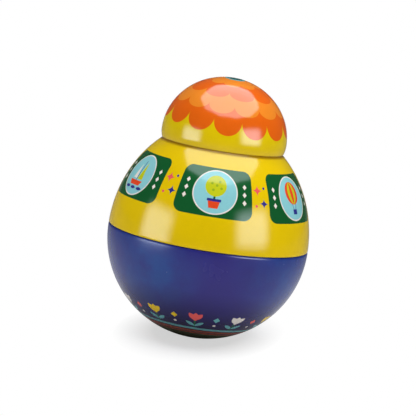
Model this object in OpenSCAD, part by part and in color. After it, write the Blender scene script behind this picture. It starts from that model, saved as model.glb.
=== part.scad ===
// Roly poly toy: three tinplate shells round a cast ballast and a chime of hammers and tone rods.
// Millimetres, +Z up along the toy's axis, origin at the lowest point of the rocking base.

/* [Body shells] */
// Outer radius of the rocking base, and of the body at its seam
body_r = 50; // [46:0.5:58]
// Height of the body's elliptical curve above the middle of the base
body_rise = 58.3; // [54:0.1:66]
// Thickness of the tinplate
sheet_t = 0.4; // [0.3:0.05:0.5]
// Radius of the rolled shoulder just under the seam
shoulder_r = 2; // [1.4:0.1:3]
// Open seam between the shoulder and the body's lower edge
seam_gap = 0.2; // [0.1:0.05:0.4]
// Height of the base's rim inside the body
tuck_h = 6.5; // [4:0.5:10]
// Height of the folded hem at the top of that rim
hem_h = 1.6; // [1:0.2:3]
// Gap between sheets that slip over one another
slip_gap = 0.07; // [0.05:0.01:0.1]

/* [Head and neck] */
// Radius of the head at its widest
head_r = 31.1; // [28:0.1:34]
// Height of the dome above its widest place
dome_rise = 29.5; // [26:0.1:40]
// Height of the head's skirt below the widest place
skirt_h = 4; // [3:0.1:6]
// Radius of the curve by which the skirt draws in
skirt_r = 12; // [8:0.5:20]
// Open crease between the head's rim and the body
neck_gap = 0.35; // [0.1:0.05:0.6]
// Height of the collar that the body reaches into the head
collar_h = 6; // [5:0.5:9]
// Width of the flange turned in at the top of the collar
collar_flange_w = 4; // [2:0.5:8]
// Radius of the bead that the head's rim snaps over
bead_r = 0.6; // [0.4:0.1:0.8]

/* [Ballast] */
// Height of the ballast's flat top above the ground
ballast_h = 14; // [11:0.5:18]
// Radius of the ballast at its top
ballast_r = 33; // [31:0.5:36]
// Radius of the stud's thread
stud_r = 2.5; // [2:0.5:3]
// Radius of the flange by which the stud is welded to the base
flange_r = 6; // [5:0.5:9]
// Thickness of that flange
flange_t = 1.2; // [0.8:0.1:2]
// Radius of the washer
washer_r = 5; // [4.5:0.1:6]
// Thickness of the washer
washer_t = 1; // [0.6:0.1:1.6]
// Width of the nut across its flats
nut_af = 8; // [7:0.5:10]
// Height of the nut
nut_h = 4; // [3:0.5:5]
// Length of stud that stands out of the nut
stud_out = 2; // [1:0.5:4]

/* [Chime base] */
// Thickness of the base plate
plate_t = 3.5; // [2.5:0.5:6]
// Wall of the column
column_wall = 1.6; // [1.2:0.1:2.4]
// Width of the flare at the column's foot
column_foot = 2; // [1:0.5:3]
// Height of the hammer pins above the base plate
pin_h = 42.5; // [40:0.5:50]
// Radius of the rod sockets' bosses
boss_r = 3.2; // [2.6:0.1:4]
// Height of those bosses above the plate
boss_h = 5; // [4:0.5:8]
// Thickness of the ribs between the column and the bosses
rib_t = 1.6; // [1:0.1:2.4]
// Thickness of each fork ear
ear_t = 1.6; // [1.2:0.1:2.4]
// Radius of an ear round its pin
ear_r = 2.4; // [2:0.1:3]
// Height of an ear's root on the column
ear_root_h = 11; // [8:0.5:14]

/* [Hammers] */
// Radius of the hammer pins
pin_r = 1; // [0.8:0.1:1.2]
// Distance from the pin to the middle of the hammer's head
hammer_len = 26; // [22:0.5:28]
// Radius of the hammer's head
hammer_r = 4.5; // [3.5:0.1:5.5]
// Height of the head between its two flats
hammer_head_h = 7.6; // [6:0.1:8]
// Thickness of the hammer's arm
arm_t = 2; // [1.6:0.1:2.4]
// Width of the arm
arm_w = 3; // [2.4:0.1:3.4]
// Radius of the arm's eye
eye_r = 2.2; // [2:0.1:2.8]
// Radius of the tang that carries the head
tang_r = 1; // [0.7:0.1:1.2]
// Way that a hammer's head can swing towards the column
swing_in = 4.5; // [3:0.5:8]
// Way that a hammer's head can swing towards its rod
swing_out = 4.5; // [3:0.5:8]

/* [Tone rods] */
// Radius of the tone rods
rod_r = 1.25; // [1:0.05:1.6]
// Length of the longest rod that stands free of its socket
rod_len = 46; // [42:0.5:52]

/* [Hidden] */
$fn = 144;
// Running clearance of a hammer's eye on its pin
run_gap = 0.05;
// Gap at the sides of a hammer's arm in its fork
fork_gap = 0.3;
// Gap of pieces that are pressed or welded together
press_gap = 0.02;
// Room in the column for the tool that turns the nut
tool_gap = 0.4;
// Clearance round the stud
stud_gap = 0.2;
// How far a pin or a tang stands out
end_out = 0.4;
// Chamfer at the stud's end
stud_chamfer = 0.6;
// Chamfer at a rod's end
rod_chamfer = 0.3;
// Plate left under a rod's socket
socket_floor = 1;
// Margin of the plate round the bosses
plate_margin = 1;
// One overrun for all cuts
over = 1;
// How much of the head's undercut the bead fills
bead_undercut_share = 0.4;
// Where the bead sits on the collar, as a share of the skirt's height
bead_place_share = 0.85;
// Height of the ribs as a share of the bosses' height
rib_share = 0.6;
// Pitches of the rods as ratios to the lowest note: a five-note major scale
pitch_shares = [1, 9 / 8, 5 / 4, 3 / 2, 5 / 3];

chime_n = len(pitch_shares);
chime_step = 360 / chime_n;

function ellipse_at(rx, ry, h) = rx * sqrt(1 - pow(h / ry, 2));
function body_z(r) = body_r + body_rise * sqrt(1 - pow(r / body_r, 2));
function body_slope(r) = atan(body_rise * r / (pow(body_r, 2) * sqrt(1 - pow(r / body_r, 2))));

// Seam between the base and the body
tuck_inset = sheet_t + slip_gap;
shoulder_h = ellipse_at(shoulder_r, shoulder_r, shoulder_r - tuck_inset);
shoulder_in_h = ellipse_at(shoulder_r - sheet_t, shoulder_r - sheet_t, shoulder_r - sheet_t - tuck_inset);
seam_h = shoulder_h + seam_gap + sheet_t / 2;
seam_z = body_r + seam_h;
seam_edge_out = ellipse_at(body_r, body_rise, seam_h);
seam_edge_in = ellipse_at(body_r - sheet_t, body_rise - sheet_t, seam_h);
tuck_low = (shoulder_h + shoulder_in_h) / 2;
tuck_top = seam_h + tuck_h;
tuck_top_r = ellipse_at(body_r - tuck_inset, body_rise - tuck_inset, tuck_top);

// Rim of the head on the body's slope
skirt_mid_r = head_r - skirt_r;
rim_out = skirt_mid_r + sqrt(pow(skirt_r, 2) - pow(skirt_h, 2));
rim_in = skirt_mid_r + sqrt(pow(skirt_r - sheet_t, 2) - pow(skirt_h, 2));
rim_mid_r = (rim_out + rim_in) / 2;
rim_edge_r = (rim_out - rim_in) / 2;
rim_z = body_z(rim_mid_r) + (rim_edge_r + neck_gap) / cos(body_slope(rim_mid_r));
head_z = rim_z + skirt_h;

// Collar and its bead
collar_r = rim_in - slip_gap;
collar_in = collar_r - sheet_t;
collar_foot = body_r + (body_rise - sheet_t) * sqrt(1 - pow(collar_in / (body_r - sheet_t), 2));
collar_z = (collar_foot + body_z(collar_r)) / 2;
collar_top = body_z(collar_r) + collar_h;
bead_out = (head_r - sheet_t - rim_in) * bead_undercut_share;
bead_z = rim_z + skirt_h * bead_place_share;

// Stack on the stud
ballast_seat_r = body_r - sheet_t - slip_gap;
plate_top = ballast_h + plate_t;
washer_top = plate_top + washer_t;
nut_top = washer_top + nut_h;
stud_top = nut_top + stud_out;
nut_corner_r = nut_af / (2 * cos(30));
nut_cone_r = nut_af / 2 + nut_h / (2 * tan(30));
stud_hole_r = stud_r + stud_gap;

// Chime layout
pin_z = plate_top + pin_h;
column_in = max(washer_r, nut_corner_r) + tool_gap;
column_r = column_in + column_wall;
hang_r = column_r + swing_in + hammer_r;
rod_ring_r = hang_r + hammer_r + swing_out + rod_r;
plate_r = rod_ring_r + boss_r + plate_margin;
boss_top = plate_top + boss_h;
socket_z = ballast_h + socket_floor;
fork_half = arm_t / 2 + fork_gap;
ear_mid = fork_half + ear_t / 2;
pin_len = 2 * (fork_half + ear_t + end_out);

SHELLS = ["lower_shell", "upper_shell", "head_shell"];
BALLAST = ["ballast_weight", "ballast_stud", "stud_washer", "stud_nut"];

// An ellipse by its two half axes
module ellipse(rx, ry) {
  scale([rx, ry]) circle(r = 1);
}

// The outline of the bowl and its rolled shoulder, drawn in by the inset
module bowl_outline(inset) {
  intersection() {
    translate([0, body_r]) circle(r = body_r - inset);
    square([body_r, body_r]);
  }
  translate([body_r - shoulder_r, body_r]) circle(r = shoulder_r - inset);
  translate([0, body_r - shoulder_r]) square([body_r - shoulder_r, 2 * shoulder_r - inset]);
}

// The body's curve as a filled outline between two heights over the middle of the base
module body_outline(inset, low, high) {
  intersection() {
    translate([0, body_r]) ellipse(body_r - inset, body_rise - inset);
    translate([0, body_r + low]) square([body_r, high - low]);
  }
}

// The outline of the dome and its skirt, drawn in by the inset and open below by the drop
module head_outline(inset, drop) {
  intersection() {
    translate([0, head_z]) ellipse(head_r - inset, dome_rise - inset);
    translate([0, head_z]) square([head_r, dome_rise]);
  }
  intersection() {
    translate([skirt_mid_r, head_z]) circle(r = skirt_r - inset);
    translate([0, rim_z - drop]) square([head_r, 2 * skirt_h + drop]);
  }
  translate([0, rim_z - drop]) square([skirt_mid_r, 2 * skirt_h + drop]);
}

// Base: a bowl with a rolled shoulder and a hemmed rim that tucks into the body
module lower_shell() {
  color("darkslateblue") rotate_extrude() {
    difference() {
      union() {
        difference() {
          bowl_outline(0);
          bowl_outline(sheet_t);
        }
        body_outline(tuck_inset, tuck_low, tuck_top);
      }
      body_outline(tuck_inset + sheet_t, 0, tuck_top + over);
    }
    difference() {
      body_outline(tuck_inset, tuck_top - hem_h, tuck_top);
      body_outline(tuck_inset + 2 * sheet_t, tuck_top - hem_h - over, tuck_top + over);
    }
    translate([tuck_top_r - sheet_t, body_r + tuck_top]) circle(r = sheet_t);
  }
}

// Body: an egg-shaped shell with a round lower edge and a beaded collar at the neck
module upper_shell() {
  color("gold") rotate_extrude() {
    intersection() {
      difference() {
        body_outline(0, seam_h, body_rise);
        body_outline(sheet_t, 0, body_rise);
      }
      translate([collar_in, body_r]) square([body_r, body_rise]);
    }
    translate([(seam_edge_out + seam_edge_in) / 2, seam_z]) circle(r = (seam_edge_out - seam_edge_in) / 2);
    translate([collar_in, collar_z]) square([sheet_t, collar_top - sheet_t - collar_z]);
    translate([collar_in, collar_top - sheet_t]) circle(r = sheet_t);
    translate([collar_r - collar_flange_w, collar_top - sheet_t]) square([collar_flange_w - sheet_t, sheet_t]);
    translate([collar_r + bead_out - bead_r, bead_z]) circle(r = bead_r);
  }
}

// Head: a dome whose skirt draws in to a rim under the collar's bead
module head_shell() {
  color("gold") rotate_extrude() {
    difference() {
      head_outline(0, 0);
      head_outline(sheet_t, over);
    }
    translate([rim_mid_r, rim_z]) circle(r = rim_edge_r);
  }
}

// Cast cap that lies in the bowl, bored for the stud and recessed for its flange
module ballast_weight() {
  color("dimgray") difference() {
    rotate_extrude() intersection() {
      translate([0, body_r]) circle(r = ballast_seat_r);
      square([ballast_r, ballast_h]);
    }
    cylinder(r = stud_hole_r, h = ballast_h + over);
    cylinder(r = flange_r + stud_gap, h = sheet_t + slip_gap + flange_t + stud_gap);
  }
}

// Weld stud whose flange fits the bowl
module ballast_stud() {
  color("silver") rotate_extrude() {
    intersection() {
      translate([0, body_r]) circle(r = ballast_seat_r);
      square([flange_r, sheet_t + slip_gap + flange_t]);
    }
    polygon([
      [0, sheet_t + slip_gap + flange_t / 2],
      [stud_r, sheet_t + slip_gap + flange_t / 2],
      [stud_r, stud_top - stud_chamfer],
      [stud_r - stud_chamfer, stud_top],
      [0, stud_top]
    ]);
  }
}

// Washer under the nut
module stud_washer() {
  color("silver") translate([0, 0, plate_top]) difference() {
    cylinder(r = washer_r, h = washer_t);
    translate([0, 0, -over]) cylinder(r = stud_hole_r, h = washer_t + 2 * over);
  }
}

// Nut that clamps the chime and the ballast to the base, with its corners bevelled at both ends
module stud_nut() {
  color("silver") translate([0, 0, washer_top]) difference() {
    intersection() {
      cylinder(r = nut_corner_r, h = nut_h, $fn = 6);
      union() {
        cylinder(r1 = nut_af / 2, r2 = nut_cone_r, h = nut_h / 2);
        translate([0, 0, nut_h / 2]) cylinder(r1 = nut_cone_r, r2 = nut_af / 2, h = nut_h / 2);
      }
    }
    translate([0, 0, -over]) cylinder(r = stud_r + press_gap, h = nut_h + 2 * over);
  }
}

// Places its children once per note, each turned to its own side of the column
module chime_place(i) {
  rotate([0, 0, (i - 1) * chime_step]) children();
}

// One ear of a fork: a web from the column to the eye round the pin
module ear() {
  rotate([90, 0, 0]) linear_extrude(height = ear_t, center = true) difference() {
    union() {
      polygon([
        [column_in, pin_z + ear_r - ear_root_h],
        [hang_r, pin_z - ear_r],
        [hang_r, pin_z + ear_r],
        [column_in, pin_z + ear_r]
      ]);
      translate([hang_r, pin_z]) circle(r = ear_r);
    }
    translate([hang_r, pin_z]) circle(r = pin_r + press_gap);
  }
}

// Moulded base of the chime: plate, hollow column, rod sockets with ribs, and forks
module chime_base() {
  color("ivory") difference() {
    union() {
      translate([0, 0, ballast_h]) cylinder(r = plate_r, h = plate_t);
      translate([0, 0, ballast_h]) cylinder(r = column_r, h = plate_t + pin_h + ear_r);
      translate([0, 0, plate_top]) cylinder(r1 = column_r + column_foot, r2 = column_r, h = column_foot);
      for (i = [1 : chime_n]) chime_place(i) {
        translate([rod_ring_r, 0, ballast_h]) cylinder(r = boss_r, h = plate_t + boss_h);
        translate([column_in, -rib_t / 2, ballast_h])
          cube([rod_ring_r - column_in, rib_t, plate_t + boss_h * rib_share]);
        for (side = [-1, 1]) translate([0, side * ear_mid, 0]) ear();
      }
    }
    translate([0, 0, plate_top]) cylinder(r = column_in, h = pin_h + ear_r + over);
    translate([0, 0, ballast_h - over]) cylinder(r = stud_hole_r, h = plate_t + 2 * over);
    for (i = [1 : chime_n]) chime_place(i)
      translate([rod_ring_r, 0, socket_z]) cylinder(r = rod_r + press_gap, h = boss_top - socket_z + over);
  }
}

// Pins through the forks
module hammer_pins() {
  color("silver") for (i = [1 : chime_n]) chime_place(i)
    translate([hang_r, 0, pin_z]) rotate([90, 0, 0]) cylinder(r = pin_r, h = pin_len, center = true);
}

// Tone rod: its free length falls with the square root of its pitch
module tone_rod(i) {
  straight_h = boss_top - socket_z + rod_len / sqrt(pitch_shares[i - 1]) - rod_chamfer;
  color("silver") chime_place(i) translate([rod_ring_r, 0, socket_z]) {
    cylinder(r = rod_r, h = straight_h);
    translate([0, 0, straight_h]) cylinder(r1 = rod_r, r2 = rod_r - rod_chamfer, h = rod_chamfer);
  }
}

// Stamped arm: an eye on the pin, a flat strip and a round tang through the head
module hammer_arm(i) {
  strip_h = hammer_len - hammer_head_h / 2;
  color("lightsteelblue") chime_place(i) translate([hang_r, 0, pin_z]) {
    rotate([90, 0, 0]) linear_extrude(height = arm_t, center = true) difference() {
      union() {
        circle(r = eye_r);
        translate([-arm_w / 2, -strip_h]) square([arm_w, strip_h]);
      }
      circle(r = pin_r + run_gap);
    }
    translate([0, 0, -hammer_len - hammer_head_h / 2 - end_out])
      cylinder(r = tang_r, h = hammer_head_h + 2 * end_out);
  }
}

// Turned head: a ball with two flats, bored for the tang
module hammer_head(i) {
  color("goldenrod") chime_place(i) translate([hang_r, 0, pin_z - hammer_len]) difference() {
    intersection() {
      sphere(r = hammer_r);
      cube([2 * hammer_r, 2 * hammer_r, hammer_head_h], center = true);
    }
    cylinder(r = tang_r + press_gap, h = hammer_head_h + 2 * over, center = true);
  }
}

lower_shell();
upper_shell();
head_shell();
ballast_weight();
ballast_stud();
stud_washer();
stud_nut();
chime_base();
hammer_pins();
for (i = [1 : chime_n]) {
  tone_rod(i);
  hammer_arm(i);
  hammer_head(i);
}
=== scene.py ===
"""Looks of a tinplate roly poly toy: printed shells, chime finishes, studio and camera."""

from __future__ import annotations

import logging
import math
from collections.abc import Callable
from dataclasses import dataclass, field
from enum import Enum

import bpy
from mathutils import Matrix, Vector

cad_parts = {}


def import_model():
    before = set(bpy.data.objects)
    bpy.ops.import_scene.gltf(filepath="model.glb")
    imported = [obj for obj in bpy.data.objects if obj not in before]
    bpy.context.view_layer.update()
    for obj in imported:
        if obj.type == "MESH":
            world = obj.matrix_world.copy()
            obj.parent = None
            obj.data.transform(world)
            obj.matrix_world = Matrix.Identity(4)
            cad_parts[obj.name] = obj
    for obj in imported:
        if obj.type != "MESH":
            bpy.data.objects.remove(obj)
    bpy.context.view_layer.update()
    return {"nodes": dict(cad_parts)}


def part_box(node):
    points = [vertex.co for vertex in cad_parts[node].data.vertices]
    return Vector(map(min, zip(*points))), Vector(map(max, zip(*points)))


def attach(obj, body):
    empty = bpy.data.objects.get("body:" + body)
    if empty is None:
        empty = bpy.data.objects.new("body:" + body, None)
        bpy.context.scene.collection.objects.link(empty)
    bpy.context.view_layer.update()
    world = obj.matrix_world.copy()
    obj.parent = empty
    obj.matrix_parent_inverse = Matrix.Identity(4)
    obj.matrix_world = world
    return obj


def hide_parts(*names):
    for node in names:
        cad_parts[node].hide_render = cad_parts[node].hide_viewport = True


LOG = logging.getLogger("roly_poly")
MM = 0.001
TOY = "toy"
# The range that holds nearly all values of a noise
NOISE_SPAN = (0.3, 0.7)

Colour = tuple[float, float, float, float]
Point = tuple[float, float]
Place = tuple[float, float, float]
Numbers = list[list[int]]
Inputs = dict[str | int, object]


def ink(red: int, green: int, blue: int) -> Colour:
    """Turns a colour as a printer reads it into the linear one that a shader takes.

    Args:
        red: Red on the usual scale of 0 to 255.
        green: Green on the same scale.
        blue: Blue on the same scale.

    Returns:
        The linear colour with full alpha.
    """

    def linear(value: int) -> float:
        """Undoes the display curve for one channel."""
        share = value / 255
        return share / 12.92 if share <= 0.04045 else ((share + 0.055) / 1.055) ** 2.4

    return (linear(red), linear(green), linear(blue), 1.0)


class Ink(Enum):
    """Inks of the print, as they look on the varnished tin, the colours of dirt and bare tin, and dark
    colours of painted shade in creases, in the seam's gap and towards the foot.
    """

    BODY_YELLOW = ink(232, 197, 2)
    HEAD_YELLOW = ink(227, 197, 2)
    DEEP_ORANGE = ink(227, 98, 12)
    LIGHT_ORANGE = ink(235, 135, 36)
    TURQUOISE = ink(104, 176, 180)
    BOTTLE_GREEN = ink(16, 88, 42)
    POLE_GREEN = ink(40, 96, 92)
    SKY = ink(140, 206, 214)
    LIME = ink(198, 204, 28)
    LEAF = ink(150, 176, 30)
    RED = ink(232, 74, 34)
    NAVY = ink(48, 50, 138)
    CORAL = ink(236, 92, 88)
    CREAM = ink(238, 230, 222)
    GOLD = ink(240, 200, 16)
    VIOLET_BLUE = ink(40, 33, 120)
    MID_BLUE = ink(22, 80, 152)
    # Painted shade that darkens the blue towards the foot
    FOOT_SHADE = ink(18, 4, 54)
    STEM_GREEN = ink(24, 98, 66)
    RUST = ink(168, 72, 40)
    MAROON = ink(92, 34, 52)
    MOSS = ink(72, 74, 48)
    # Painted shade in the creases at the neck and at the foot of the head's rim
    CREASE = ink(168, 128, 4)
    # Painted shade in the gap of the seam between base and body
    GAP_SHADE = ink(12, 8, 24)
    SOOT = ink(84, 62, 18)
    DUST = ink(128, 132, 176)
    TIN = ink(196, 196, 192)


class Sheet:
    """A node tree while it is written."""

    def __init__(self, tree: bpy.types.NodeTree, material: bpy.types.Material | None = None) -> None:
        """Starts an empty tree.

        Args:
            tree: The tree of a material or a light.
            material: The material, where the tree is one's.
        """
        self.tree = tree
        self.material = material
        self.tree.nodes.clear()

    @classmethod
    def of_material(cls, name: str) -> Sheet:
        """Starts a new material.

        Args:
            name: Name of the material.

        Returns:
            Its empty tree.
        """
        made = bpy.data.materials.new(name)
        made.use_nodes = True
        return cls(made.node_tree, made)

    def node(self, kind: str, inputs: Inputs | None = None, **settings: object) -> bpy.types.Node:
        """Adds a node.

        Args:
            kind: Blender's name for the node, without the start that all of them have.
            inputs: What its inputs take, by name or number.
            settings: Properties of the node by name.

        Returns:
            The new node.
        """
        made = self.tree.nodes.new(f"ShaderNode{kind}")
        for key, value in settings.items():
            setattr(made, key, value)
        for key, value in (inputs or {}).items():
            self.feed(made.inputs[key], value)
        return made

    def feed(self, socket: bpy.types.NodeSocket, value: object) -> None:
        """Links a field or a socket to an input, or sets the input to a plain value.

        Args:
            socket: The input.
            value: A Field, a socket, a colour or a number.
        """
        if isinstance(value, Field):
            value = value.socket
        if isinstance(value, bpy.types.NodeSocket):
            self.tree.links.new(value, socket)
        else:
            socket.default_value = value

    def math(self, operation: str, *values: object) -> Field:
        """Adds one sum of fields or numbers, by the Math node's name for it, and gives its result."""
        made = self.node("Math", dict(enumerate(values)), operation=operation)
        return Field(self, made.outputs[0])

    def own_axes(self) -> bpy.types.NodeSocket:
        """Gives the place on the toy in its own frame, in metres."""
        return self.node("TexCoord").outputs["Object"]

    def position(self) -> tuple[Field, Field, Field]:
        """Gives the place on the toy, in millimetres from its foot."""
        split = self.node("SeparateXYZ", {0: self.own_axes()})
        x, y, z = (Field(self, out) * (1 / MM) for out in split.outputs)
        return x, y, z

    def noise(
        self, size_mm: float, detail: float, rough: float = 0.5, stretch: Place = (1.0, 1.0, 1.0)
    ) -> Field:
        """Gives a soft noise.

        Args:
            size_mm: Size of its largest blotches.
            detail: How many finer layers it has.
            rough: How strong the finer layers are.
            stretch: How dense it is along each axis.

        Returns:
            A field from 0 to 1.
        """
        drawn = self.node("Mapping", {"Vector": self.own_axes(), "Scale": stretch})
        look = {"Scale": 1 / (size_mm * MM), "Detail": detail, "Roughness": rough}
        return Field(self, self.node("TexNoise", {"Vector": drawn.outputs[0], **look}).outputs[0])

    def specks(self, pitch_mm: float, radius_mm: float) -> Field:
        """Gives tiny round specks, few and far between.

        Args:
            pitch_mm: Size of the cells in space that hold one speck each.
            radius_mm: Radius of the largest specks.

        Returns:
            1 in a speck and 0 elsewhere.
        """
        cells = self.node("TexVoronoi", {"Vector": self.own_axes(), "Scale": 1 / (pitch_mm * MM)})
        far = Field(self, cells.outputs["Distance"]) * pitch_mm
        return self.spread(far, radius_mm, radius_mm / 2)

    def spread(
        self, value: Field, low: float, high: float, out_low: float = 0.0, out_high: float = 1.0
    ) -> Field:
        """Maps a field's range, from low to high, to another one and stops at its ends."""
        ends = dict(enumerate((value, low, high, out_low, out_high)))
        return Field(self, self.node("MapRange", ends, clamp=True).outputs[0])

    def mix(self, share: object, under: object, over: object) -> bpy.types.NodeSocket:
        """Lays one colour over another.

        Args:
            share: How much of the upper colour shows, from 0 to 1.
            under: Lower colour.
            over: Upper colour.

        Returns:
            The mixed colour.
        """
        made = self.node("Mix", {"Factor": share}, data_type="RGBA")
        colours = [s for s in made.inputs if s.type == "RGBA"]
        self.feed(colours[0], under)
        self.feed(colours[1], over)
        return next(s for s in made.outputs if s.type == "RGBA")

    def relief(self, height: Field, depth_mm: float) -> bpy.types.NodeSocket:
        """Gives the normal of a fine relief, from its height of 0 to 1 and its full depth."""
        return self.node("Bump", {"Distance": depth_mm * MM, "Height": height}).outputs[0]

    def finished(self, kind: str, inputs: Inputs) -> bpy.types.Material:
        """Adds the shader that the material shows and gives the material."""
        self.node("OutputMaterial", {"Surface": self.node(kind, inputs).outputs[0]})
        return self.material


class Field:
    """A number that varies over a surface, with the usual signs for sums."""

    def __init__(self, sheet: Sheet, socket: bpy.types.NodeSocket) -> None:
        """Wraps the output of a node on a sheet."""
        self.sheet = sheet
        self.socket = socket

    def __add__(self, other: object) -> Field:
        """Adds."""
        return self.sheet.math("ADD", self, other)

    def __sub__(self, other: object) -> Field:
        """Takes away."""
        return self.sheet.math("SUBTRACT", self, other)

    def __rsub__(self, other: object) -> Field:
        """Takes this away from a number."""
        return self.sheet.math("SUBTRACT", other, self)

    def __mul__(self, other: object) -> Field:
        """Multiplies."""
        return self.sheet.math("MULTIPLY", self, other)

    def __rtruediv__(self, other: object) -> Field:
        """Divides a number by this."""
        return self.sheet.math("DIVIDE", other, self)

    def __abs__(self) -> Field:
        """Drops the sign."""
        return self.sheet.math("ABSOLUTE", self)

    def least(self, other: object) -> Field:
        """Takes the smaller of two."""
        return self.sheet.math("MINIMUM", self, other)

    def most(self, other: object) -> Field:
        """Takes the larger of two."""
        return self.sheet.math("MAXIMUM", self, other)

    def root(self) -> Field:
        """Takes the square root."""
        return self.sheet.math("SQRT", self)

    def floor(self) -> Field:
        """Rounds down."""
        return self.sheet.math("FLOOR", self)

    def wrap(self, half: float) -> Field:
        """Repeats the stretch from minus a half to that half over and over."""
        return self.sheet.math("WRAP", self, half, -half)

    def angle(self, across: Field) -> Field:
        """Gives the angle of this over another, all the way round, in radians."""
        return self.sheet.math("ARCTAN2", self, across)

    def reach(self, other: Field) -> Field:
        """Gives the distance from zero of the point that has this and another as its axes."""
        return (self * self + other * other).root()

    def one_of(self, number: int, kinds: int) -> Field:
        """Is 1 where this whole number falls on one of several kinds in turn, and 0 elsewhere."""
        turn = self.sheet.math("FLOORED_MODULO", self, kinds)
        return self.sheet.math("COMPARE", turn, number, 0.5)


@dataclass(frozen=True)
class Motif:
    """A place for small shapes: its own axes over the surface, in millimetres."""

    x: Field
    y: Field
    soft_mm: float = 0.14

    def moved(self, right: float = 0.0, up: float = 0.0) -> Motif:
        """Moves the axes to the right and up."""
        return Motif(self.x - right, self.y - up, self.soft_mm)

    def turned(self, degrees: float) -> Motif:
        """Turns the axes to the left.

        Args:
            degrees: Angle of the turn.

        Returns:
            The turned place.
        """
        c = math.cos(math.radians(degrees))
        s = math.sin(math.radians(degrees))
        return Motif(self.x * c + self.y * s, self.y * c - self.x * s, self.soft_mm)

    def scaled(self, factor: float) -> Motif:
        """Enlarges the axes, so that shapes come out larger by a factor."""
        return Motif(self.x * (1 / factor), self.y * (1 / factor), self.soft_mm / factor)

    def shown(self, outside: Field) -> Field:
        """Turns the distance outside an outline into how much ink shows, with a slightly soft edge."""
        return self.x.sheet.spread(outside, self.soft_mm / 2, -self.soft_mm / 2)

    def disc(self, radius: float) -> Field:
        """Gives a round spot."""
        return self.shown(self.x.reach(self.y) - radius)

    def box(self, half_w: float, half_h: float, corner: float = 0.0) -> Field:
        """Gives a rectangle, with round corners where a radius is given.

        Args:
            half_w: Half its width.
            half_h: Half its height.
            corner: Radius of its corners.

        Returns:
            How much ink shows.
        """
        over_x = abs(self.x) - (half_w - corner)
        over_y = abs(self.y) - (half_h - corner)
        outer = over_x.most(0.0).reach(over_y.most(0.0))
        return self.shown(outer + over_x.most(over_y).least(0.0) - corner)

    def taper(self, half_low: float, half_high: float, half_h: float) -> Field:
        """Gives an upright shape that is wider or narrower at its top than at its foot.

        Args:
            half_low: Half its width at the foot.
            half_high: Half its width at the top.
            half_h: Half its height.

        Returns:
            How much ink shows.
        """
        middle = (half_low + half_high) / 2
        lean = (half_high - half_low) / (2 * half_h)
        side = abs(self.x) - self.y * lean - middle
        return self.shown(side.most(abs(self.y) - half_h))

    def diamond(self, half_w: float, half_h: float) -> Field:
        """Gives a diamond."""
        far = abs(self.x) * (1 / half_w) + abs(self.y) * (1 / half_h) - 1
        return self.shown(far * min(half_w, half_h))

    def star(self, reach: float) -> Field:
        """Gives a star of four hollow-sided points."""
        side = (abs(self.x) * (1 / reach)).root() + (abs(self.y) * (1 / reach)).root() - 1
        return self.shown(side * (reach / 2))

    def leaf(self, half_w: float, half_h: float) -> Field:
        """Gives a leaf: the overlap of two discs.

        Args:
            half_w: Half its width.
            half_h: Half its height.

        Returns:
            How much ink shows.
        """
        radius = (half_w * half_w + half_h * half_h) / (2 * half_w)
        shift = radius - half_w
        return self.shown((self.x + shift).reach(self.y).most((self.x - shift).reach(self.y)) - radius)


@dataclass(frozen=True)
class Ring:
    """Places for one motif, evenly round the toy's axis."""

    around: Field
    up: Field
    copies: int
    radius_mm: float
    scale: float = 1.0

    def spot(self, shift: float = 0.0) -> Motif:
        """Gives the place of the nearest copy, shifted by a share of the pitch."""
        pitch = 2 * math.pi / self.copies
        aside = (self.around + shift * pitch).wrap(pitch / 2) * self.radius_mm
        return Motif(aside, self.up).scaled(self.scale)

    def number(self, shift: float = 0.0) -> Field:
        """Gives the whole number of the nearest copy, shifted by a share of the pitch."""
        return (self.around * (self.copies / (2 * math.pi)) + (0.5 + shift)).floor()


@dataclass(frozen=True)
class Mark:
    """One printed shape: its ink, its outline with that outline's sizes, and its place and turn."""

    ink: Ink
    outline: Callable[..., Field]
    sizes: tuple[float, ...]
    right: float = 0.0
    up: float = 0.0
    turn_deg: float = 0.0


Picture = tuple[Mark, ...]


class Print:
    """Inks laid one over another on a sheet."""

    def __init__(self, sheet: Sheet, ground: Ink) -> None:
        """Starts with the ink of the bare ground on a sheet."""
        self.sheet = sheet
        self.colour: object = ground.value

    def lay(self, over: Ink, *shares: Field) -> None:
        """Prints an ink where all the given shares show.

        Args:
            over: The ink.
            shares: Fields from 0 to 1, multiplied together.
        """
        share = shares[0]
        for more in shares[1:]:
            share = share * more
        self.colour = self.sheet.mix(share, self.colour, over.value)

    def lay_picture(self, spot: Motif, picture: Picture, *shares: Field) -> None:
        """Prints a picture, one mark over another.

        Args:
            spot: Its place.
            picture: Its marks, the lowest first.
            shares: Fields from 0 to 1 that say where it shows.
        """
        for mark in picture:
            axes = spot.moved(mark.right, mark.up)
            if mark.turn_deg:
                axes = axes.turned(mark.turn_deg)
            self.lay(mark.ink, mark.outline(axes, *mark.sizes), *shares)

    def lay_in_turn(self, ring: Ring, pictures: tuple[Picture, ...], shift: float = 0.0) -> None:
        """Prints several pictures in turn round the toy.

        Args:
            ring: Their places.
            pictures: The pictures.
            shift: How far they are shifted, as a share of the pitch.
        """
        for kind, picture in enumerate(pictures):
            chosen = ring.number(shift).one_of(kind, len(pictures))
            self.lay_picture(ring.spot(shift), picture, chosen)

    def lay_within(self, over: Ink, way: Field, edge: object) -> None:
        """Prints an ink from a pole as far as an edge, which is a field or a number in millimetres."""
        self.lay(over, Motif(way, way).shown(way - edge))

    def lay_crease_shade(self, way: Field, start_mm: float, fade_mm: Point) -> None:
        """Paints the shade of a crease: a dark line, which fades out between two ways from its start."""
        near, far = (start_mm + fade for fade in fade_mm)
        self.lay(Ink.CREASE, self.sheet.spread(way, far, near))


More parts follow.
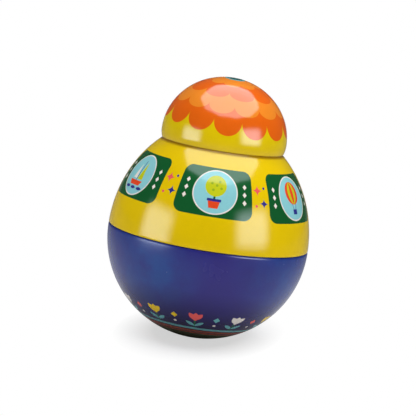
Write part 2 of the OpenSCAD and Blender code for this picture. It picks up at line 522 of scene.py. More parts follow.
@dataclass(frozen=True)
class Varnish:
    """Clear varnish over litho print on tin."""

    roughness: float
    wander: float
    ior: float
    speck: Ink
    tint_spread: float = 0.05
    smear_mm: float = 26.0
    grain_mm: float = 0.9
    grain_share: float = 0.25
    dimple_mm: float = 6.0
    dimple_depth_mm: float = 0.012
    speck_pitch_mm: float = 8.0
    speck_r_mm: float = 0.24
    speck_share: float = 0.6

    def dress(self, work: Print) -> bpy.types.Material:
        """Finishes a printed material.

        Args:
            work: The print.

        Returns:
            The finished material.
        """
        sheet = work.sheet
        smear = sheet.noise(self.smear_mm, detail=3.0, rough=0.6)
        grain = sheet.noise(self.grain_mm, detail=1.0)
        blend = smear * (1 - self.grain_share) + grain * self.grain_share
        tone = sheet.spread(blend, *NOISE_SPAN, 1 - self.tint_spread, 1 + self.tint_spread)
        flaws = sheet.specks(self.speck_pitch_mm, self.speck_r_mm) * self.speck_share
        flecked = sheet.mix(flaws, work.colour, self.speck.value)
        low, high = self.roughness - self.wander, self.roughness + self.wander
        look = {
            "Base Color": sheet.node("HueSaturation", {"Value": tone, "Color": flecked}).outputs[0],
            "Roughness": sheet.spread(smear, *NOISE_SPAN, low, high),
            "IOR": self.ior,
            "Normal": sheet.relief(sheet.noise(self.dimple_mm, detail=2.0), self.dimple_depth_mm),
        }
        return sheet.finished("BsdfPrincipled", look)


@dataclass(frozen=True)
class BareFinish:
    """Unprinted metal or moulding with a fine worked surface."""

    name: str
    colour: Colour
    roughness: float
    grain_mm: float
    wander: float = 0.05
    relief_mm: float = 0.004
    stretch: Place = (1.0, 1.0, 1.0)
    metallic: float = 1.0
    low_tone: float = 0.82

    def make(self) -> bpy.types.Material:
        """Makes the material.

        Returns:
            The finished material.
        """
        sheet = Sheet.of_material(self.name)
        grain = sheet.noise(self.grain_mm, detail=3.0, stretch=self.stretch)
        dark = tuple(self.low_tone * c for c in self.colour[:3]) + (1.0,)
        low, high = self.roughness - self.wander, self.roughness + self.wander
        look = {
            "Base Color": sheet.mix(sheet.spread(grain, *NOISE_SPAN), dark, self.colour),
            "Roughness": sheet.spread(grain, *NOISE_SPAN, low, high),
            "Metallic": self.metallic,
            "Normal": sheet.relief(grain, self.relief_mm),
        }
        return sheet.finished("BsdfPrincipled", look)


HEAD_GLOSS = Varnish(roughness=0.115, wander=0.015, ior=1.42, speck=Ink.SOOT)
BODY_GLOSS = Varnish(roughness=0.115, wander=0.015, ior=1.375, speck=Ink.SOOT)
SATIN = Varnish(roughness=0.25, wander=0.03, ior=1.44, speck=Ink.DUST, tint_spread=0.06)
TINPLATE = BareFinish("bare_tinplate", Ink.TIN.value, roughness=0.34, grain_mm=1.2, wander=0.06)
STEEL = BareFinish(
    "bright_steel",
    ink(188, 188, 192),
    roughness=0.28,
    grain_mm=0.4,
    wander=0.06,
    stretch=(1.0, 1.0, 0.08),
    low_tone=0.92,
)
BRASS = BareFinish(
    "turned_brass", ink(214, 172, 92), roughness=0.26, grain_mm=0.35, stretch=(0.1, 0.1, 1.0)
)
CAST_IRON = BareFinish(
    "cast_iron", ink(70, 70, 72), roughness=0.62, grain_mm=1.4, wander=0.08, relief_mm=0.12, metallic=0.6
)
IVORY = BareFinish(
    "ivory_moulding",
    ink(226, 214, 188),
    roughness=0.48,
    grain_mm=0.7,
    relief_mm=0.012,
    metallic=0.0,
    low_tone=0.95,
)


def tulip(petal: Ink) -> Picture:
    """Gives a flower of three petals, the middle one on top."""
    outward = {lean: -1.5 * math.sin(math.radians(lean)) for lean in (-34, 34, 0)}
    return tuple(
        Mark(petal, Motif.leaf, (1.15, 2.5), right=right, up=8.0, turn_deg=lean)
        for lean, right in outward.items()
    )


# Pictures of the print in millimetres on a motif's axes, their lowest marks first
SPRIG = (
    Mark(Ink.STEM_GREEN, Motif.box, (0.34, 3.4, 0.3), up=3.2),
    Mark(Ink.TURQUOISE, Motif.leaf, (0.85, 2.2), right=-1.7, up=3.4, turn_deg=48),
    Mark(Ink.TURQUOISE, Motif.leaf, (0.85, 2.2), right=1.7, up=3.4, turn_deg=-48),
)
TULIPS = tuple(tulip(petal) for petal in (Ink.CORAL, Ink.CREAM, Ink.GOLD))
CHIPS = tuple(
    (Mark(chip, Motif.diamond, (1.2, 1.6), up=7.4), Mark(Ink.CREAM, Motif.disc, (0.6,), up=3.6))
    for chip in (Ink.GOLD, Ink.TURQUOISE, Ink.CORAL)
)
PLAQUE = (
    Mark(Ink.BOTTLE_GREEN, Motif.box, (19.0, 12.6, 4.4)),
    *(
        Mark(Ink.CREAM, Motif.diamond, (1.05, 1.4), right=side * 15.0, up=step * 4.0)
        for side in (-1, 1)
        for step in (-1, 0, 1)
    ),
    Mark(Ink.CREAM, Motif.disc, (11.4,)),
    Mark(Ink.SKY, Motif.disc, (10.8,)),
)
STARS = (
    Mark(Ink.CORAL, Motif.star, (3.4,), right=-1.6, up=3.0),
    Mark(Ink.NAVY, Motif.star, (3.0,), right=1.8, up=-3.4),
    Mark(Ink.NAVY, Motif.disc, (0.7,), right=2.4, up=4.4),
    Mark(Ink.CORAL, Motif.disc, (0.7,), right=-2.4, up=-4.8),
)
POTTED_TREE = (
    Mark(Ink.BOTTLE_GREEN, Motif.box, (0.45, 2.6), up=-2.2),
    Mark(Ink.LIME, Motif.disc, (4.9,), up=2.6),
    *(
        Mark(Ink.LEAF, Motif.disc, (0.6,), right, up)
        for right, up in ((-2.0, 3.6), (1.6, 4.6), (2.6, 1.6), (-1.0, 0.6), (0.4, 2.8))
    ),
    Mark(Ink.RED, Motif.taper, (1.9, 2.8, 1.9), up=-5.6),
    Mark(Ink.NAVY, Motif.box, (3.1, 0.6, 0.2), up=-3.9),
)
BALLOON = (
    Mark(Ink.NAVY, Motif.box, (0.16, 1.9), right=-1.2, up=-3.6, turn_deg=14),
    Mark(Ink.NAVY, Motif.box, (0.16, 1.9), right=1.2, up=-3.6, turn_deg=-14),
    Mark(Ink.RED, Motif.disc, (5.2,), up=2.2),
    Mark(Ink.LIME, Motif.leaf, (3.2, 5.2), up=2.2),
    Mark(Ink.RED, Motif.leaf, (1.2, 5.2), up=2.2),
    Mark(Ink.NAVY, Motif.box, (1.5, 1.1, 0.3), up=-6.2),
)
BOAT = (
    Mark(Ink.NAVY, Motif.box, (0.22, 5.4), up=1.2),
    Mark(Ink.LIME, Motif.taper, (1.9, 0.1, 4.2), right=2.3, up=1.8),
    Mark(Ink.CREAM, Motif.taper, (1.5, 0.1, 3.4), right=-1.9, up=1.2),
    Mark(Ink.RED, Motif.taper, (3.4, 5.0, 1.1), up=-4.2),
    *(Mark(Ink.NAVY, Motif.leaf, (0.7, 2.0), right, up=-6.5, turn_deg=90) for right in (-4.6, 0.0, 4.6)),
)


def arc(middle: Point, half_axes: Point, start: float, end: float, steps: int) -> list[Point]:
    """Gives the points of an arc of a circle or an ellipse.

    Args:
        middle: Its middle.
        half_axes: Its half axes across and up.
        start: Angle of the first point, in degrees from level.
        end: Angle of the last point.
        steps: How many steps it has.

    Returns:
        The points, first and last included.
    """
    turns = [math.radians(start + (end - start) * i / steps) for i in range(steps + 1)]
    return [(middle[0] + half_axes[0] * math.cos(t), middle[1] + half_axes[1] * math.sin(t)) for t in turns]


def circle(middle: Point, radius: float, start: float, end: float, steps: int) -> list[Point]:
    """Gives the points of an arc of a circle, as arc does."""
    return arc(middle, (radius, radius), start, end, steps)


def added(name: str, data: bpy.types.ID) -> bpy.types.Object:
    """Adds an object to the scene.

    Args:
        name: Name of the object.
        data: The mesh, light or camera that it holds.

    Returns:
        The new object.
    """
    made = bpy.data.objects.new(name, data)
    bpy.context.scene.collection.objects.link(made)
    return made


@dataclass(frozen=True)
class Row:
    """One ring of a turned shell: its radius, height, way up the flat print and material slot."""

    radius: float
    height: float
    way: float
    slot: int

    @property
    def on_axis(self) -> bool:
        """Is the ring only a point on the axis."""
        return self.radius <= 0


@dataclass
class Turned:
    """A thin body of revolution: outlines of radius and height, turned round the toy's axis."""

    name: str
    outside: list[Point]
    inside: list[Point]
    segments: int = 192
    inside_share: float = 0.2

    def rows(self) -> list[Row]:
        """Gives the rings, along the outside and back along the inside.

        Returns:
            The rings in order.
        """
        split = 1 - self.inside_share
        found = []
        for slot, (points, start, end) in enumerate(((self.outside, 0.0, split), (self.inside, split, 1.0))):
            along = [0.0]
            for a, b in zip(points, points[1:]):
                along.append(along[-1] + math.dist(a, b))
            found += [Row(*p, start + (end - start) * s / along[-1], slot) for p, s in zip(points, along)]
        return found

    def rings(self, rows: list[Row]) -> tuple[list[Place], Numbers]:
        """Gives the vertices of all rings.

        Args:
            rows: The rings.

        Returns:
            The vertices, and for each ring the number of its vertex at each segment.
        """
        turns = [2 * math.pi * i / self.segments for i in range(self.segments)]
        vertices: list[Place] = []
        numbers: Numbers = []
        for row in rows:
            first = len(vertices)
            if row.on_axis:
                numbers.append([first] * self.segments)
                vertices.append((0.0, 0.0, row.height))
            else:
                numbers.append(list(range(first, first + self.segments)))
                vertices += [(-row.radius * math.sin(t), row.radius * math.cos(t), row.height) for t in turns]
        return vertices, numbers

    def skin(self, rows: list[Row], numbers: Numbers) -> tuple[Numbers, list[Point], list[int]]:
        """Joins each ring with the next, and the last with the first where the outline is a loop.

        Args:
            rows: The rings.
            numbers: For each ring the number of its vertex at each segment.

        Returns:
            The faces, the place of each of their corners on the flat print, and their material slots.
        """
        faces: Numbers = []
        flat: list[Point] = []
        slots: list[int] = []
        pairs = [(k, k + 1) for k in range(len(rows) - 1) if not (rows[k].on_axis and rows[k + 1].on_axis)]
        if not rows[0].on_axis:
            pairs.append((len(rows) - 1, 0))
        for low, high in pairs:
            v_low = rows[low].way
            v_high = rows[high].way if high else 1.0
            for i in range(self.segments):
                j = (i + 1) % self.segments
                ring = [numbers[low][i], numbers[low][j], numbers[high][j], numbers[high][i]]
                spots = [(i, v_low), (i + 1, v_low), (i + 1, v_high), (i, v_high)]
                if rows[low].on_axis:
                    ring, spots = ring[1:], [(i + 0.5, v_low)] + spots[2:]
                elif rows[high].on_axis:
                    ring, spots = ring[:3], spots[:2] + [(i + 0.5, v_high)]
                faces.append(ring)
                flat += [(u / self.segments, v) for u, v in spots]
                slots.append(rows[high].slot if high else 1)
        return faces, flat, slots

    def build(self) -> bpy.types.Object:
        """Turns the outlines into a closed mesh with a flat map for its print.

        Returns:
            The new object.
        """
        rows = self.rows()
        vertices, numbers = self.rings(rows)
        faces, flat, slots = self.skin(rows, numbers)
        mesh = bpy.data.meshes.new(self.name)
        mesh.from_pydata(vertices, [], faces)
        layer = mesh.uv_layers.new(name="OFBake")
        for spot, place_on_map in zip(layer.data, flat):
            spot.uv = place_on_map
        mesh.polygons.foreach_set("use_smooth", [True] * len(faces))
        mesh.polygons.foreach_set("material_index", slots)
        mesh.update()
        return added(self.name, mesh)


@dataclass
class Tin:
    """Sizes that the three shells share, in metres."""

    base_r: float
    sheet_t: float = 0.4 * MM
    shoulder_r: float = 2.0 * MM
    seam_gap: float = 0.2 * MM
    slip: float = 0.07 * MM
    rise: float = 58.3 * MM

    @property
    def tuck(self) -> float:
        """How far the base's rim is drawn in to slip inside the body."""
        return self.sheet_t + self.slip

    @property
    def shoulder_h(self) -> float:
        """Height of the rolled shoulder over the middle of the base."""
        return math.sqrt(self.shoulder_r**2 - (self.shoulder_r - self.tuck) ** 2)

    @property
    def seam_h(self) -> float:
        """Height of the middle of the body's round lower edge over the middle of the base."""
        return self.shoulder_h + self.seam_gap + self.sheet_t / 2

    def ellipse_r(self, inset: float, height: float) -> float:
        """Gives the body's radius at a height over the middle of the base, drawn in by an inset."""
        return (self.base_r - inset) * math.sqrt(1 - (height / (self.rise - inset)) ** 2)

    def ellipse_h(self, inset: float, radius: float) -> float:
        """Gives the height over the middle of the base where the body, drawn in, has a radius."""
        return (self.rise - inset) * math.sqrt(1 - (radius / (self.base_r - inset)) ** 2)

    def body_arc(self, inset: float, low: float, high: float, steps: int) -> list[Point]:
        """Gives a stretch of the body's curve between two heights over the middle of the base.

        Args:
            inset: How far the curve is drawn in.
            low: Height of the first point.
            high: Height of the last point.
            steps: How many steps it has.

        Returns:
            The points, first and last included.
        """
        axes = (self.base_r - inset, self.rise - inset)
        start, end = (math.degrees(math.asin(height / axes[1])) for height in (low, high))
        return arc((0.0, self.base_r), axes, start, end, steps)


@dataclass(frozen=True)
class Wash:
    """A soft lighter patch on the blue ground, printed mottling and in places painted lamp light: its angle
    from the front, height and reach.
    """

    turn_deg: float
    height_mm: float
    reach_mm: float


@dataclass
class BaseShell:
    """Blue bowl with a rolled shoulder and a hemmed rim."""

    tin: Tin
    tuck_h: float = 6.5 * MM
    hem_h: float = 1.6 * MM
    sprigs: int = 11
    sprig_foot_deg: float = 37.0
    sprig_ring_r_mm: float = 33.0
    sprig_scale: float = 1.25
    # Heights over which painted shade darkens the base's rim going up into the seam's gap
    seam_gap_shade_mm: Point = (50.9, 51.3)
    # Heights over which painted shade darkens the blue towards the foot
    foot_shade_mm: Point = (31.0, 8.0)
    cloud_mm: float = 16.0
    cloud_low: float = 0.25
    wash_core: float = 0.3
    wash_share: float = 0.6
    wash_squeeze: float = 0.7
    # The patches at the front left and front right, which face the left and right softboxes, are partly
    # painted light; the others are printed mottling
    washes_and_lamp_light: tuple[Wash, ...] = (
        Wash(-52.0, 40.0, 36.0),
        Wash(-28.0, 36.0, 18.0),
        Wash(62.0, 46.0, 30.0),
        Wash(74.0, 30.0, 22.0),
        Wash(128.0, 38.0, 34.0),
        Wash(212.0, 34.0, 24.0),
        Wash(250.0, 26.0, 18.0),
    )
    stripes: tuple[tuple[Ink, float], ...] = (
        (Ink.TURQUOISE, 37.6),
        (Ink.MAROON, 35.4),
        (Ink.RUST, 33.8),
        (Ink.MAROON, 32.4),
        (Ink.RUST, 30.9),
        (Ink.MOSS, 29.6),
    )

    def build(self) -> bpy.types.Object:
        """Builds the bowl.

        Returns:
            The new object.
        """
        tin = self.tin
        t, r, s, tuck = tin.sheet_t, tin.base_r, tin.shoulder_r, tin.tuck
        top = tin.seam_h + self.tuck_h
        hem = top - self.hem_h
        middle = (r - s, r)
        lip = math.degrees(math.acos((s - tuck) / s))
        lip_in = math.degrees(math.acos((s - t - tuck) / (s - t)))
        outside = circle((0.0, r), r, -90, 0, steps=72)
        outside[0] = (0.0, 0.0)
        outside += circle(middle, s, 0, lip, steps=10)[1:]
        outside += tin.body_arc(tuck, tin.shoulder_h, top, steps=8)[1:]
        inside = circle((tin.ellipse_r(tuck, top) - t, r + top), t, 0, 180, steps=8)[1:]
        inside += tin.body_arc(tuck + 2 * t, top, hem, steps=3)[1:]
        inside += tin.body_arc(tuck + t, hem, tin.shoulder_h, steps=8)
        inside += circle(middle, s - t, lip_in, 0, steps=6)
        inside += circle((0.0, r), r - t, 0, -90, steps=48)[1:]
        inside[-1] = (0.0, t)
        return Turned("lower_shell_tin", outside, inside).build()

    def printed(self) -> bpy.types.Material:
        """Prints the blue ground, the stripes at the foot and a ring of sprigs.

        Returns:
            The finished material.
        """
        sheet = Sheet.of_material("blue_print")
        x, y, z = sheet.position()
        around = x.angle(y * -1)
        radius_mm = self.tin.base_r / MM
        along = x.reach(y).angle(radius_mm - z) * radius_mm
        work = Print(sheet, Ink.VIOLET_BLUE)
        self.lay_washes_and_lamp_light(work, around, z)
        # Painted shade: the blue darkens towards the foot
        work.lay(Ink.FOOT_SHADE, sheet.spread(z, *self.foot_shade_mm))
        foot_mm = math.radians(self.sprig_foot_deg) * radius_mm
        ring = Ring(around, along - foot_mm, self.sprigs, self.sprig_ring_r_mm, self.sprig_scale)
        work.lay_picture(ring.spot(), SPRIG)
        work.lay_in_turn(ring, TULIPS)
        work.lay_in_turn(ring, CHIPS, shift=0.5)
        for band, edge_deg in self.stripes:
            work.lay_within(band, along, math.radians(edge_deg) * radius_mm)
        # Painted shade: the base's rim turns nearly black going up into the gap under the body's edge
        work.lay(Ink.GAP_SHADE, sheet.spread(z, *self.seam_gap_shade_mm))
        return SATIN.dress(work)

    def lay_washes_and_lamp_light(self, work: Print, around: Field, height: Field) -> None:
        """Prints the lighter patches of the blue ground, with painted lamp light in those that face the left
        and right softboxes.

        Args:
            work: The print.
            around: Angle round the axis.
            height: Height over the foot, in millimetres.
        """
        sheet = work.sheet
        blotches = sheet.noise(self.cloud_mm, detail=4.0, rough=0.6)
        cloud = sheet.spread(blotches, *NOISE_SPAN, self.cloud_low, 1.0)
        ring_mm = self.tin.base_r / MM * self.wash_squeeze
        for wash in self.washes_and_lamp_light:
            aside = (around - math.radians(wash.turn_deg)).wrap(math.pi) * ring_mm
            far = aside.reach(height - wash.height_mm)
            core_mm = wash.reach_mm * self.wash_core
            work.lay(Ink.MID_BLUE, sheet.spread(far, wash.reach_mm, core_mm, 0.0, self.wash_share), cloud)


@dataclass
class BodyShell:
    """Yellow egg-shaped body with a beaded collar inside the head."""

    tin: Tin
    collar_r: float
    collar_top: float
    rim_bottom: float
    flange_w: float = 4.0 * MM
    bead_r: float = 0.6 * MM
    bead_out: float = 0.28 * MM
    bead_h: float = 3.6 * MM
    plaques: int = 6
    plaque_ring_r_mm: float = 45.5
    plaque_way_mm: float = 30.0
    picture_scale: float = 1.12
    way_per_turn_mm: float = 57.0
    # Reach of the painted crease shade just outside the head's rim
    crease_shade_mm: Point = (0.5, 1.4)

    def build(self) -> bpy.types.Object:
        """Builds the body.

        Returns:
            The new object.
        """
        tin = self.tin
        t, r, seam, top = tin.sheet_t, tin.base_r, tin.seam_h, self.collar_top
        edge_out, edge_in = tin.ellipse_r(0, seam), tin.ellipse_r(t, seam)
        half = (edge_out - edge_in) / 2
        collar_in = self.collar_r - t
        flange_r = self.collar_r - self.flange_w
        bead_middle = (self.collar_r + self.bead_out - self.bead_r, self.rim_bottom + self.bead_h)
        reach = math.degrees(math.acos((self.bead_r - self.bead_out) / self.bead_r))
        outside = circle((edge_out - half, r + seam), half, -90, 0, steps=4)
        outside += tin.body_arc(0, seam, tin.ellipse_h(0, self.collar_r), steps=72)[1:]
        outside += circle(bead_middle, self.bead_r, -reach, reach, steps=6)
        outside += circle((collar_in, top - t), t, 0, 90, steps=4)
        inside = [(flange_r, top), (flange_r, top - t), (collar_in - t, top - t), (collar_in, top - 2 * t)]
        inside += tin.body_arc(t, tin.ellipse_h(t, collar_in), seam, steps=48)
        inside += circle((edge_in + half, r + seam), half, 180, 270, steps=4)[1:-1]
        return Turned("upper_shell_tin", outside, inside).build()

    def printed(self) -> bpy.types.Material:
        """Prints the yellow ground and a ring of green plaques with small stars between them.

        Returns:
            The finished material.
        """
        sheet = Sheet.of_material("yellow_print")
        x, y, z = sheet.position()
        around = x.angle(y * -1)
        flat = x.reach(y)
        base_mm, rise_mm = self.tin.base_r / MM, self.tin.rise / MM
        along = ((z - base_mm) * (1 / rise_mm)).angle(flat * (1 / base_mm)) * self.way_per_turn_mm
        work = Print(sheet, Ink.BODY_YELLOW)
        places = (around, along - self.plaque_way_mm, self.plaques, self.plaque_ring_r_mm)
        work.lay_picture(Ring(*places).spot(), PLAQUE)
        work.lay_in_turn(Ring(*places, self.picture_scale), (POTTED_TREE, BALLOON, BOAT))
        work.lay_picture(Ring(*places).spot(shift=0.5), STARS)
        # Painted shade: a dark line round the top of the body, just outside the head's rim
        work.lay_crease_shade(flat, self.collar_r / MM, self.crease_shade_mm)
        return BODY_GLOSS.dress(work)


@dataclass(frozen=True)
class Scallops:
    """One row of the head's petals, as ways from the top in millimetres."""

    ink: Ink
    petals: int
    tip_mm: float
    notch_mm: float
    turn_deg: float

    def edge(self, around: Field) -> Field:
        """Gives the way from the top to the row's edge at an angle round the axis."""
        half = math.pi / self.petals
        share = (around - math.radians(self.turn_deg)).wrap(half) * (1 / half)
        bulge = (1 - share * share).most(0.0).root()
        return bulge * (self.tip_mm - self.notch_mm) + self.notch_mm


@dataclass
class HeadShell:
    """Yellow dome with rows of orange scallops, printed slightly off its axis."""

    tin: Tin
    radius: float
    top: float
    rim_bottom: float
    dome_rise: float = 29.5 * MM
    skirt_h: float = 4.0 * MM
    skirt_r: float = 12.0 * MM
    ring_mm: float = 5.2
    spot_mm: float = 3.7
    # Reach of the painted crease shade at the foot of the head's rim
    crease_shade_mm: Point = (0.1, 0.5)
    print_lean_right_deg: float = 2.0
    print_lean_front_deg: float = 3.5
    scallops: tuple[Scallops, ...] = (
        Scallops(Ink.DEEP_ORANGE, 13, 43.3, 35.6, 1.0),
        Scallops(Ink.LIGHT_ORANGE, 12, 32.7, 27.8, -9.4),
        Scallops(Ink.DEEP_ORANGE, 9, 24.0, 19.4, -24.3),
        Scallops(Ink.LIGHT_ORANGE, 8, 14.0, 10.8, -5.0),
    )

    @property
    def widest(self) -> float:
        """Height of the head's widest place."""
        return self.top - self.dome_rise

    def rim(self) -> Point:
        """Gives the radius inside and outside the sheet at the skirt's end."""
        middle = self.radius - self.skirt_r
        inner = self.skirt_r - self.tin.sheet_t
        return (
            middle + math.sqrt(inner**2 - self.skirt_h**2),
            middle + math.sqrt(self.skirt_r**2 - self.skirt_h**2),
        )

    def build(self) -> bpy.types.Object:
        """Builds the dome, from the rim over the top and back inside.

        Returns:
            The new object.
        """
        t, z = self.tin.sheet_t, self.widest
        inner, outer = self.rim()
        half = (outer - inner) / 2
        middle = (self.radius - self.skirt_r, z)
        drop = math.degrees(math.asin(self.skirt_h / self.skirt_r))
        drop_in = math.degrees(math.asin(self.skirt_h / (self.skirt_r - t)))
        edge = (inner + half, z - self.skirt_h)
        outside = circle(edge, half, -90, 0, steps=4)
        outside += circle(middle, self.skirt_r, -drop, 0, steps=10)[1:]
        outside += arc((0.0, z), (self.radius, self.dome_rise), 0, 90, steps=72)[1:]
        outside[-1] = (0.0, self.top)
        inside = arc((0.0, z), (self.radius - t, self.dome_rise - t), 90, 0, steps=48)
        inside[0] = (0.0, self.top - t)
        inside += circle(middle, self.skirt_r - t, 0, -drop_in, steps=8)[1:]
        inside += circle(edge, half, 180, 270, steps=4)[1:-1]
        return Turned("head_shell_tin", outside, inside).build()

    def printed(self) -> bpy.types.Material:
        """Prints the scallops and the round spot at the top.

        Returns:
            The finished material.
        """
        sheet = Sheet.of_material("scallop_print")
        x, y, z = sheet.position()
        front = Motif(x, z - self.widest / MM).turned(-self.print_lean_right_deg)
        side = Motif(y, front.y).turned(self.print_lean_front_deg)
        around = front.x.angle(side.x * -1)
        along = front.x.reach(side.x).angle(side.y) * (self.radius / MM)
        work = Print(sheet, Ink.HEAD_YELLOW)
        for row in self.scallops:
            work.lay_within(row.ink, along, row.edge(around))
        work.lay_within(Ink.TURQUOISE, along, self.ring_mm)
        work.lay_within(Ink.POLE_GREEN, along, self.spot_mm)
        # Painted shade: a dark line along the foot of the head's rim
        work.lay_crease_shade(z, self.rim_bottom / MM, self.crease_shade_mm)
        return HEAD_GLOSS.dress(work)


@dataclass
class Chime:
    """Finishes of the pieces inside the toy: steel, apart from those named by the start of their name."""

    finishes: dict[str, BareFinish] = field(
        default_factory=lambda: {
            "ballast_weight": CAST_IRON,
            "chime_base": IVORY,
            "hammer_head": BRASS,
        }
    )

    def dress(self, nodes: dict[str, bpy.types.Object], shells: tuple[str, ...]) -> None:
        """Gives each inner piece its finish.

        Args:
            nodes: The CAD pieces by name.
            shells: Names of the pieces that have finishes of their own.
        """
        made = {finish: finish.make() for finish in (STEEL, *self.finishes.values())}
        for name, piece in nodes.items():
            if name in shells:
                continue
            finish = next((f for stem, f in self.finishes.items() if name.startswith(stem)), STEEL)
            piece.data.materials.clear()
            piece.data.materials.append(made[finish])
            LOG.info("%s: %s", name, finish.name)


class Front(Enum):
    """Outline of a softbox's front, by the light's shape that holds it."""

    RECTANGLE = "RECTANGLE"
    OCTAGON = "SQUARE"


class Part(Enum):
    """Part of a softbox's light: the fill on matt colours or the gloss on varnish."""

    FILL = "fill"
    GLOSS = "gloss"


@dataclass(frozen=True)
class Softbox:
    """A studio softbox that faces the toy, with a soft edge to its glow, in metres."""

    name: str
    centre: Place
    target: Place
    width: float
    height: float
    fill: float
    gloss: float
    front: Front = Front.RECTANGLE
    edge: float = 0.5
    fade: float = 0.0
    gloss_ahead: float = 0.01
    gloss_colour: Place = (0.82, 0.93, 1.0)

    def brightness(self, part: Part) -> float:
        """Gives how bright one part of the light is."""
        return self.fill if part is Part.FILL else self.gloss

    def place(self, part: Part) -> bpy.types.Object:
        """Sets one part of the softbox's light up, the gloss a little ahead of the fill.

        Args:
            part: The fill or the gloss.

        Returns:
            The light.
        """
        name = f"{self.name}_{part.value}"
        data = bpy.data.lights.new(name, "AREA")
        data.shape = self.front.value
        data.size = self.width
        if self.front is Front.RECTANGLE:
            data.size_y = self.height
        data.energy = self.brightness(part) * math.pi * self.width * self.height
        self.glow(data)
        light = added(name, data)
        way = (Vector(self.target) - Vector(self.centre)).normalized()
        light.location = Vector(self.centre)
        light.rotation_mode = "QUATERNION"
        light.rotation_quaternion = way.to_track_quat("-Z", "Y")
        if part is Part.GLOSS:
            light.location += way * self.gloss_ahead
            data.color = self.gloss_colour
        light.visible_camera = False
        light.visible_diffuse = part is Part.FILL
        light.visible_glossy = part is Part.GLOSS
        return light

    def glow(self, data: bpy.types.AreaLight) -> None:
        """Shapes the glow over the front.

        Args:
            data: The light.
        """
        data.use_nodes = True
        sheet = Sheet(data.node_tree)
        split = sheet.node("SeparateXYZ", {0: sheet.node("NewGeometry").outputs["Parametric"]})
        u, v = (Field(sheet, out) for out in split.outputs[:2])
        across = abs(u * 2 - 1)
        upward = abs(v * 2 - 1)
        inner = 1 - self.edge
        if self.front is Front.OCTAGON:
            reach = across.most(upward).most((across + upward) * math.sqrt(0.5))
            share = sheet.spread(reach, 1.0, inner)
        else:
            share = sheet.spread(across, 1.0, inner) * sheet.spread(upward, 1.0, inner)
        faded = sheet.spread(v, 0.0, 1.0, 1 + self.fade, 1 - self.fade)
        lamp = sheet.node("Emission", {"Strength": share * faded})
        sheet.node("OutputLight", {"Surface": lamp.outputs[0]})


SOFTBOXES = (
    Softbox(
        "softbox_top",
        centre=(0.004, -0.04, 0.29),
        target=(0.004, -0.04, 0.0),
        width=0.29,
        height=0.29,
        fill=2.2,
        gloss=6.0,
        front=Front.OCTAGON,
        edge=0.06,
        fade=0.18,
    ),
    Softbox(
        "softbox_left",
        centre=(-0.29, -0.18, 0.075),
        target=(0.0, -0.03, 0.075),
        width=0.268,
        height=0.222,
        fill=5.1,
        gloss=8.0,
    ),
    Softbox(
        "softbox_right",
        centre=(0.80, -0.66, 0.31),
        target=(0.0, 0.0, 0.08),
        width=0.917,
        height=0.69,
        fill=6.6,
        gloss=9.0,
    ),
    Softbox(
        "softbox_back",
        centre=(-0.3, 0.95, 0.3),
        target=(0.0, 0.0, 0.07),
        width=0.9,
        height=0.66,
        fill=5.7,
        gloss=0.0,
        edge=0.6,
    ),
)


@dataclass
class Floor:
    """White floor that keeps the toy's shadow, in metres where no unit is named."""

    radius: float = 12.0
    segments: int = 96
    white: float = 0.55
    bounce: float = 0.9
    pool_share: float = 0.4
    pool_h: float = 0.29
    pool_y: float = -0.04
    far_share: float = 0.15
    # Reach of the painted shade under the toy, in reflections
    shade_reach_mm: Point = (16.0, 64.0)
    shadow_mid_mm: Point = (4.0, 18.0)
    shadow_skew: float = 0.78
    shadow_squeeze: float = 0.55
    shadow_reach_mm: Point = (23.5, 43.5)

    def build(self) -> bpy.types.Object:
        """Lays the floor.

        Returns:
            The floor.
        """
        ring = circle((0.0, 0.0), self.radius, 0, 360, self.segments)[:-1]
        mesh = bpy.data.meshes.new("floor")
        mesh.from_pydata([(x, y, 0.0) for x, y in ring], [], [list(range(self.segments))])
        mesh.materials.append(self.painted())
        floor = added("floor", mesh)
        return floor

    def painted(self) -> bpy.types.Material:
        """Makes the floor white to the camera, and matt where the toy's shadow lies; in reflections its glow
        is painted light, a pool that fades far off, with painted shade under the toy.

        Returns:
            The finished material.
        """
        sheet = Sheet.of_material("floor_white")
        x, y, _ = sheet.position()
        rays = sheet.node("LightPath").outputs
        direct, glossy, passed, bounced = (
            Field(sheet, rays[f"Is {kind} Ray"]) for kind in ("Camera", "Glossy", "Transmission", "Diffuse")
        )
        ahead = y - self.pool_y / MM
        spread = (x * x + ahead * ahead) * (MM / self.pool_h) ** 2 + 1
        pool = 1 / (spread * spread)
        # Painted shade: in reflections the floor's glow is taken away under the toy, up to the first reach,
        # and comes back fully by the second
        clear = sheet.spread(x.reach(y), *self.shade_reach_mm)
        # Painted pool of light: in reflections the glow follows the overhead lamp's pool and fades far off,
        # down to far_share
        mirrored = glossy.most(passed) * clear * (pool * (1 - self.far_share) + self.far_share)
        # The camera sees the real shadow only inside a sheared ellipse round the toy; outside it the floor's
        # glow makes up the full white
        aside = x - self.shadow_mid_mm[0]
        behind = (y - self.shadow_mid_mm[1] - aside * self.shadow_skew) * self.shadow_squeeze
        lit = 1 - direct * sheet.spread(aside.reach(behind), *self.shadow_reach_mm)
        tone = lit * self.white + bounced * (self.bounce - self.white)
        level = direct.most(mirrored) * (1 - lit * pool * self.pool_share)
        matt = sheet.node("BsdfDiffuse", {"Color": tone}).outputs[0]
        glow = sheet.node("Emission", {"Strength": level}).outputs[0]
        return sheet.finished("AddShader", {0: matt, 1: glow})


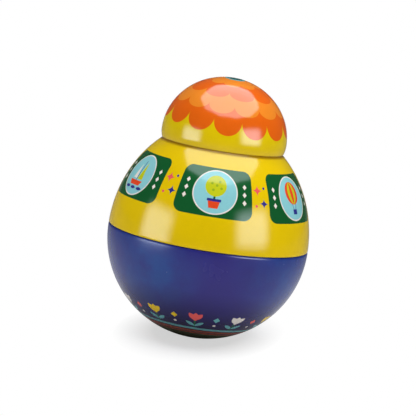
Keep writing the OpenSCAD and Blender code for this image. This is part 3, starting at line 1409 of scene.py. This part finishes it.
@dataclass
class Studio:
    """Grey room, white floor, four softboxes and the camera of the photograph."""

    base_middle: Vector
    floor: Floor = field(default_factory=Floor)
    room_grey: float = 0.08
    camera_back: float = 0.961
    camera_up: float = 0.1993
    camera_near: float = 0.01
    camera_far: float = 100.0
    lens_mm: float = 169.3
    sensor_mm: float = 36.0
    image_px: int = 416
    base_px: Point = (208.0, 238.0)
    lean_deg: float = 9.0

    def build(self) -> None:
        """Sets the whole studio up."""
        self.room()
        self.lights(self.floor.build())
        self.camera()
        bpy.context.scene.view_settings.view_transform = "Standard"

    def room(self) -> None:
        """Makes the room an even grey."""
        world = bpy.data.worlds.new("room")
        world.use_nodes = True
        back = world.node_tree.nodes["Background"]
        back.inputs["Color"].default_value = (self.room_grey,) * 3 + (1.0,)
        back.inputs["Strength"].default_value = 1.0
        bpy.context.scene.world = world

    def lights(self, floor: bpy.types.Object) -> None:
        """Places the softboxes, all kept off the floor but the one overhead.

        Args:
            floor: The floor.
        """
        off_floor = bpy.data.collections.new("off_the_floor")
        off_floor.objects.link(floor)
        off_floor.collection_objects[0].light_linking.link_state = "EXCLUDE"
        for box in SOFTBOXES:
            for part in (p for p in Part if box.brightness(p) > 0):
                light = box.place(part)
                if box.front is Front.RECTANGLE:
                    light.light_linking.receiver_collection = off_floor
                LOG.info("light %s", light.name)

    def camera(self) -> None:
        """Places the camera of the photograph, rolled so that the toy leans as it does there."""
        data = bpy.data.cameras.new("camera")
        data.sensor_width = self.sensor_mm
        data.lens = self.lens_mm
        data.clip_start = self.camera_near
        data.clip_end = self.camera_far
        camera = added("camera", data)
        eye = Vector((0.0, -self.camera_back, self.camera_up))
        to_base = self.base_middle - eye
        per_px = to_base.length * self.sensor_mm / (self.lens_mm * self.image_px)
        lean = math.radians(self.lean_deg)
        right = self.base_px[0] - self.image_px / 2
        down = self.base_px[1] - self.image_px / 2
        across = right * math.cos(lean) + down * math.sin(lean)
        above = right * math.sin(lean) - down * math.cos(lean)
        forward = to_base.normalized()
        side = forward.cross(Vector((0.0, 0.0, 1.0))).normalized()
        up = side.cross(forward)
        aim = self.base_middle - side * (across * per_px) - up * (above * per_px)
        look = (aim - eye).to_track_quat("-Z", "Y").to_matrix().to_4x4()
        camera.matrix_world = Matrix.Translation(eye) @ look @ Matrix.Rotation(lean, 4, "Z")
        bpy.context.scene.camera = camera


def place(piece: bpy.types.Object, node: str, slot: str, *finishes: bpy.types.Material) -> None:
    """Puts a built piece in the place of a CAD node.

    Args:
        piece: The built piece.
        node: The node that it stands for.
        slot: The record's material slot; not used.
        finishes: Its materials in order.
    """
    for finish in finishes:
        piece.data.materials.append(finish)
    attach(piece, TOY)
    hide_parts(node)
    LOG.info("%s stands for %s, %d faces", piece.name, node, len(piece.data.polygons))


def main() -> None:
    """Builds the shells to the CAD pieces' sizes, dresses the chime and sets up the studio."""
    logging.basicConfig(level=logging.INFO, format="%(message)s")
    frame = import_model()
    _, base_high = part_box("lower_shell")
    head_low, head_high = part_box("head_shell")
    _, body_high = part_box("upper_shell")
    tin = Tin(base_high.x)
    head = HeadShell(tin, head_high.x, head_high.z, head_low.z)
    body = BodyShell(tin, head.rim()[0] - tin.slip, body_high.z, head_low.z)
    base = BaseShell(tin)
    bare = TINPLATE.make()
    place(base.build(), "lower_shell", "blue_tin", base.printed(), bare)
    place(body.build(), "upper_shell", "yellow_tin", body.printed(), bare)
    place(head.build(), "head_shell", "head_tin", head.printed(), bare)
    Chime().dress(frame["nodes"], ("lower_shell", "upper_shell", "head_shell"))
    Studio(Vector((0.0, 0.0, tin.base_r))).build()


if __name__ == "__main__":
    main()
